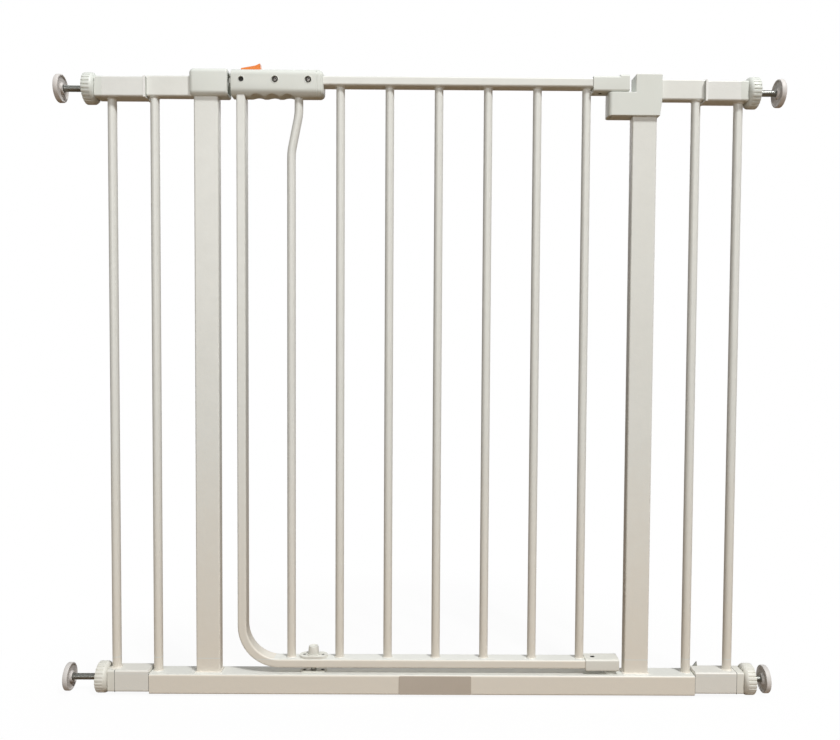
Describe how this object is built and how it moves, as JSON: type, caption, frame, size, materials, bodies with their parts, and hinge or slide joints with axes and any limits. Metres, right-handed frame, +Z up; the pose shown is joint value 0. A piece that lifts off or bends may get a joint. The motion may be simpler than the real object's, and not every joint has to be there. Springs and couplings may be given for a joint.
{
  "type": "safety baby gate",
  "caption": "Pressure-fit steel safety gate for a doorway: barred panel that lifts and swings on hinge pins, sliding latch, bottom bolt, plug-on extensions and threaded wall pads.",
  "frame": {"origin": "on the floor below the middle of the whole gate, at the lowest point of the thumb wheels", "axes": "+X across the doorway towards the hinge side, +Y through the doorway away from the front, +Z up"},
  "size_m": [0.885, 0.038, 0.7784],
  "materials": {
    "powder_coat": "satin off-white powder coat with a fine texture",
    "white_plastic": "moulded white plastic, fine grain",
    "pad_plastic": "moulded light grey plastic",
    "zinc_steel": "zinc plated steel",
    "lock_plastic": "moulded pale plastic",
    "orange_plastic": "moulded orange plastic, satin gloss",
    "plate_plastic": "bare neutral plate"
  },
  "bodies": {
    "frame": {"bottom_rail": "powder_coat", "left_post": "powder_coat", "right_post": "powder_coat", "left_top_rail": "powder_coat", "right_top_rail": "powder_coat", "left_frame_bar": "powder_coat", "right_frame_bar": "powder_coat", "latch_keeper": "white_plastic", "upper_hinge_bracket": "white_plastic", "lower_hinge_bush": "white_plastic", "strike_plate": "white_plastic", "strike_plate_screws": "zinc_steel", "name_plate": "plate_plastic", "left_extension_bar": "powder_coat", "right_extension_bar": "powder_coat", "extension_joiners": "white_plastic", "extension_clip": "zinc_steel", "upper_left_extension_tube": "powder_coat", "upper_left_end_plug": "white_plastic", "lower_left_extension_tube": "powder_coat", "lower_left_end_plug": "white_plastic", "upper_right_extension_tube": "powder_coat", "upper_right_end_plug": "white_plastic", "lower_right_extension_tube": "powder_coat", "lower_right_end_plug": "white_plastic"},
    "hinge_pins": {"hinge_pins": "zinc_steel"},
    "gate": {"gate_side_tube": "powder_coat", "gate_top_rail": "powder_coat", "bent_gate_bar": "powder_coat", "gate_bar_1": "powder_coat", "gate_bar_2": "powder_coat", "gate_bar_3": "powder_coat", "gate_bar_4": "powder_coat", "gate_bar_5": "powder_coat", "gate_bar_6": "powder_coat", "handle_front_shell": "white_plastic", "handle_rear_shell": "white_plastic", "handle_screws": "zinc_steel", "upper_hinge_cap": "white_plastic", "lower_hinge_cap": "white_plastic", "hinge_cap_screws": "zinc_steel", "bolt_housing": "white_plastic", "bolt_housing_screws": "zinc_steel"},
    "latch_slide": {"lock_bolt": "lock_plastic", "latch_button": "orange_plastic"},
    "bottom_bolt": {"bolt_knob": "white_plastic", "bolt_pin": "zinc_steel"},
    "upper_left_wheel": {"upper_left_thumb_wheel": "white_plastic"},
    "upper_left_spindle": {"upper_left_spindle": "zinc_steel", "upper_left_wall_pad": "pad_plastic"},
    "lower_left_wheel": {"lower_left_thumb_wheel": "white_plastic"},
    "lower_left_spindle": {"lower_left_spindle": "zinc_steel", "lower_left_wall_pad": "pad_plastic"},
    "upper_right_wheel": {"upper_right_thumb_wheel": "white_plastic"},
    "upper_right_spindle": {"upper_right_spindle": "zinc_steel", "upper_right_wall_pad": "pad_plastic"},
    "lower_right_wheel": {"lower_right_thumb_wheel": "white_plastic"},
    "lower_right_spindle": {"lower_right_spindle": "zinc_steel", "lower_right_wall_pad": "pad_plastic"}
  },
  "joints": [
    {"name": "gate_lift", "type": "slide", "parent": "frame", "child": "hinge_pins", "axis": [0, 0, 1], "range_m": [0, 0.008]},
    {"name": "gate_swing", "type": "hinge", "parent": "hinge_pins", "child": "gate", "pos_m": [0.2425, 0, 0.032], "axis": [0, 0, 1], "range_deg": [-90, 90]},
    {"name": "latch_slide", "type": "slide", "parent": "gate", "child": "latch_slide", "axis": [-1, 0, 0], "range_m": [0, 0.008]},
    {"name": "bottom_bolt", "type": "slide", "parent": "gate", "child": "bottom_bolt", "axis": [0, 0, -1], "range_m": [0, 0.005]},
    {"name": "upper_left_spindle_travel", "type": "slide", "parent": "frame", "child": "upper_left_spindle", "axis": [-1, 0, 0], "range_m": [-0.025, 0.01625]},
    {"name": "upper_left_wheel_turn", "type": "hinge", "parent": "frame", "child": "upper_left_wheel", "pos_m": [-0.394, 0, 0.74775], "axis": [-1, 0, 0], "range_deg": [-4685, 7205]},
    {"name": "lower_left_spindle_travel", "type": "slide", "parent": "frame", "child": "lower_left_spindle", "axis": [-1, 0, 0], "range_m": [-0.03125, 0.01]},
    {"name": "lower_left_wheel_turn", "type": "hinge", "parent": "frame", "child": "lower_left_wheel", "pos_m": [-0.3845, 0, 0.019], "axis": [-1, 0, 0], "range_deg": [-2885, 9005]},
    {"name": "upper_right_spindle_travel", "type": "slide", "parent": "frame", "child": "upper_right_spindle", "axis": [1, 0, 0], "range_m": [-0.02125, 0.02]},
    {"name": "upper_right_wheel_turn", "type": "hinge", "parent": "frame", "child": "upper_right_wheel", "pos_m": [0.3975, 0, 0.74775], "axis": [1, 0, 0], "range_deg": [-5765, 6125]},
    {"name": "lower_right_spindle_travel", "type": "slide", "parent": "frame", "child": "lower_right_spindle", "axis": [1, 0, 0], "range_m": [-0.00875, 0.03125]},
    {"name": "lower_right_wheel_turn", "type": "hinge", "parent": "frame", "child": "lower_right_wheel", "pos_m": [0.407, 0, 0.019], "axis": [1, 0, 0], "range_deg": [-9005, 2525]}
  ],
  "couplings": [
    {"joint": "upper_left_wheel_turn", "follows": "upper_left_spindle_travel", "rad_per_m": -5026.5},
    {"joint": "lower_left_wheel_turn", "follows": "lower_left_spindle_travel", "rad_per_m": -5026.5},
    {"joint": "upper_right_wheel_turn", "follows": "upper_right_spindle_travel", "rad_per_m": -5026.5},
    {"joint": "lower_right_wheel_turn", "follows": "lower_right_spindle_travel", "rad_per_m": -5026.5}
  ]
}
